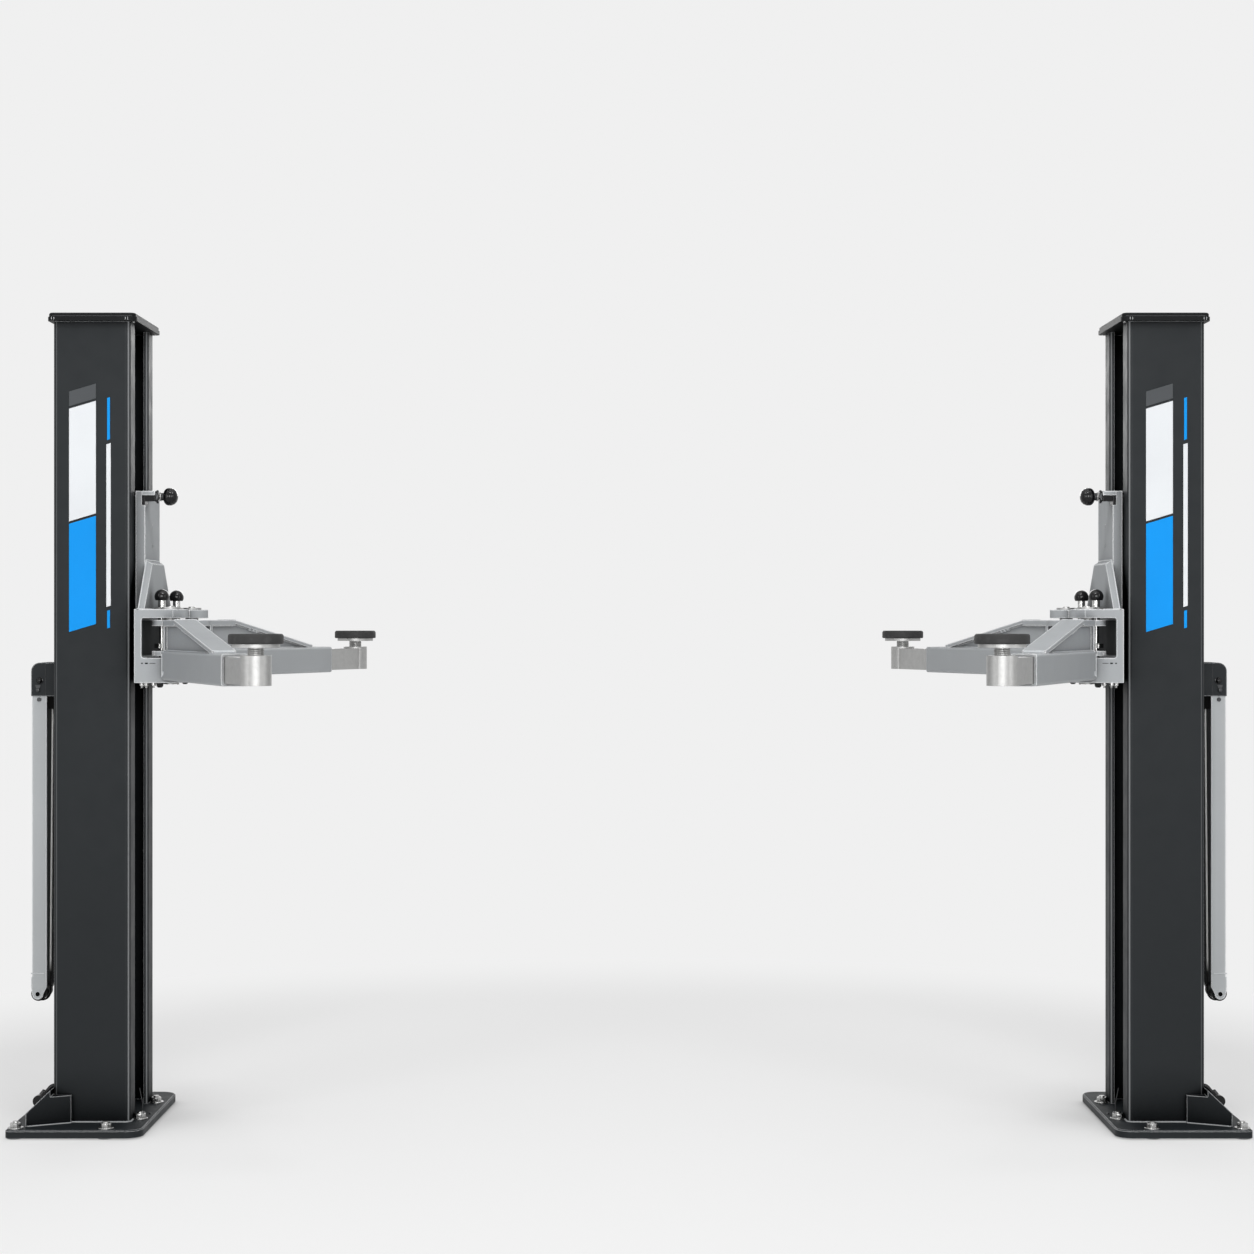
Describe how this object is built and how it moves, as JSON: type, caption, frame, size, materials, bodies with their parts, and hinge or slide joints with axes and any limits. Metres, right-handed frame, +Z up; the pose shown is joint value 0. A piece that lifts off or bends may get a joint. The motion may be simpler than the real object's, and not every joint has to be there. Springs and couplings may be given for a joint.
{
  "type": "two post car lift",
  "caption": "Two post car lift with lipped columns, sliding carriages, toothed swing arms with screw pads, restraint pins, door bumpers and anchored base plates.",
  "frame": {"origin": "on the floor, midway between the two posts and at the middle of their depth", "axes": "+X from the left post to the right post, +Y away from the picture's camera, +Z up"},
  "size_m": [3.068, 2.042, 2.042],
  "materials": {
    "dark_paint": "satin dark grey paint",
    "grey_paint": "light grey powder coat",
    "strut_grey": "smooth light grey paint",
    "black_plastic": "moulded black",
    "slide_plastic": "machined slide plastic",
    "black_rubber": "matte rubber",
    "zinc_steel": "zinc plated",
    "wire_steel": "stranded wire",
    "pin_steel": "turned steel, black knob"
  },
  "bodies": {
    "posts": {"top_caps": "black_plastic", "foot_gussets": "dark_paint", "pipe_unions": "black_plastic", "rope_loops": "wire_steel", "left_column": "dark_paint", "left_base_plate": "dark_paint", "left_hood": "dark_paint", "left_roller_hanger": "strut_grey", "right_column": "dark_paint", "right_base_plate": "dark_paint", "right_hood": "dark_paint", "right_roller_hanger": "strut_grey"},
    "left_carriage": {"left_carriage": "grey_paint", "left_slide_pads": "slide_plastic", "left_door_bumper": "black_rubber", "left_stiffener": "grey_paint", "left_arm_bracket": "grey_paint", "left_pivot_pins": "zinc_steel"},
    "left_return_roller": {"left_return_roller": "black_plastic"},
    "left_front_arm": {"left_front_arm": "grey_paint", "left_front_arm_extension": "zinc_steel", "left_front_lifting_pad": "black_rubber"},
    "left_front_restraint_pin": {"left_front_restraint_pin": "pin_steel"},
    "left_rear_arm": {"left_rear_arm": "grey_paint", "left_rear_arm_extension": "zinc_steel", "left_rear_lifting_pad": "black_rubber"},
    "left_rear_restraint_pin": {"left_rear_restraint_pin": "pin_steel"},
    "right_carriage": {"right_carriage": "grey_paint", "right_slide_pads": "slide_plastic", "right_door_bumper": "black_rubber", "right_stiffener": "grey_paint", "right_arm_bracket": "grey_paint", "right_pivot_pins": "zinc_steel"},
    "right_return_roller": {"right_return_roller": "black_plastic"},
    "right_front_arm": {"right_front_arm": "grey_paint", "right_front_arm_extension": "zinc_steel", "right_front_lifting_pad": "black_rubber"},
    "right_front_restraint_pin": {"right_front_restraint_pin": "pin_steel"},
    "right_rear_arm": {"right_rear_arm": "grey_paint", "right_rear_arm_extension": "zinc_steel", "right_rear_lifting_pad": "black_rubber"},
    "right_rear_restraint_pin": {"right_rear_restraint_pin": "pin_steel"}
  },
  "joints": [
    {"name": "left_lift", "type": "slide", "parent": "posts", "child": "left_carriage", "axis": [0, 0, 1], "range_m": [-1.02, 0.36]},
    {"name": "left_roller_spin", "type": "hinge", "parent": "posts", "child": "left_return_roller", "pos_m": [-1.5, 0, 0.327], "axis": [0, 1, 0], "continuous": true},
    {"name": "left_front_arm_swing", "type": "hinge", "parent": "left_carriage", "child": "left_front_arm", "pos_m": [-1.144, -0.148, 1.2], "axis": [0, 0, -1], "range_deg": [-67.5, 22.5]},
    {"name": "left_front_restraint_pin_lift", "type": "slide", "parent": "left_carriage", "child": "left_front_restraint_pin", "axis": [0, 0, 1], "range_m": [-0.018, 0]},
    {"name": "left_rear_arm_swing", "type": "hinge", "parent": "left_carriage", "child": "left_rear_arm", "pos_m": [-1.144, 0.148, 1.2], "axis": [0, 0, 1], "range_deg": [-67.5, 22.5]},
    {"name": "left_rear_restraint_pin_lift", "type": "slide", "parent": "left_carriage", "child": "left_rear_restraint_pin", "axis": [0, 0, 1], "range_m": [-0.018, 0]},
    {"name": "right_lift", "type": "slide", "parent": "posts", "child": "right_carriage", "axis": [0, 0, 1], "range_m": [-1.02, 0.36]},
    {"name": "right_roller_spin", "type": "hinge", "parent": "posts", "child": "right_return_roller", "pos_m": [1.5, 0, 0.327], "axis": [0, 1, 0], "continuous": true},
    {"name": "right_front_arm_swing", "type": "hinge", "parent": "right_carriage", "child": "right_front_arm", "pos_m": [1.144, -0.148, 1.2], "axis": [0, 0, 1], "range_deg": [-67.5, 22.5]},
    {"name": "right_front_restraint_pin_lift", "type": "slide", "parent": "right_carriage", "child": "right_front_restraint_pin", "axis": [0, 0, 1], "range_m": [-0.018, 0]},
    {"name": "right_rear_arm_swing", "type": "hinge", "parent": "right_carriage", "child": "right_rear_arm", "pos_m": [1.144, 0.148, 1.2], "axis": [0, 0, -1], "range_deg": [-67.5, 22.5]},
    {"name": "right_rear_restraint_pin_lift", "type": "slide", "parent": "right_carriage", "child": "right_rear_restraint_pin", "axis": [0, 0, 1], "range_m": [-0.018, 0]}
  ],
  "couplings": [
    {"joint": "right_lift", "follows": "left_lift", "ratio": 1}
  ]
}
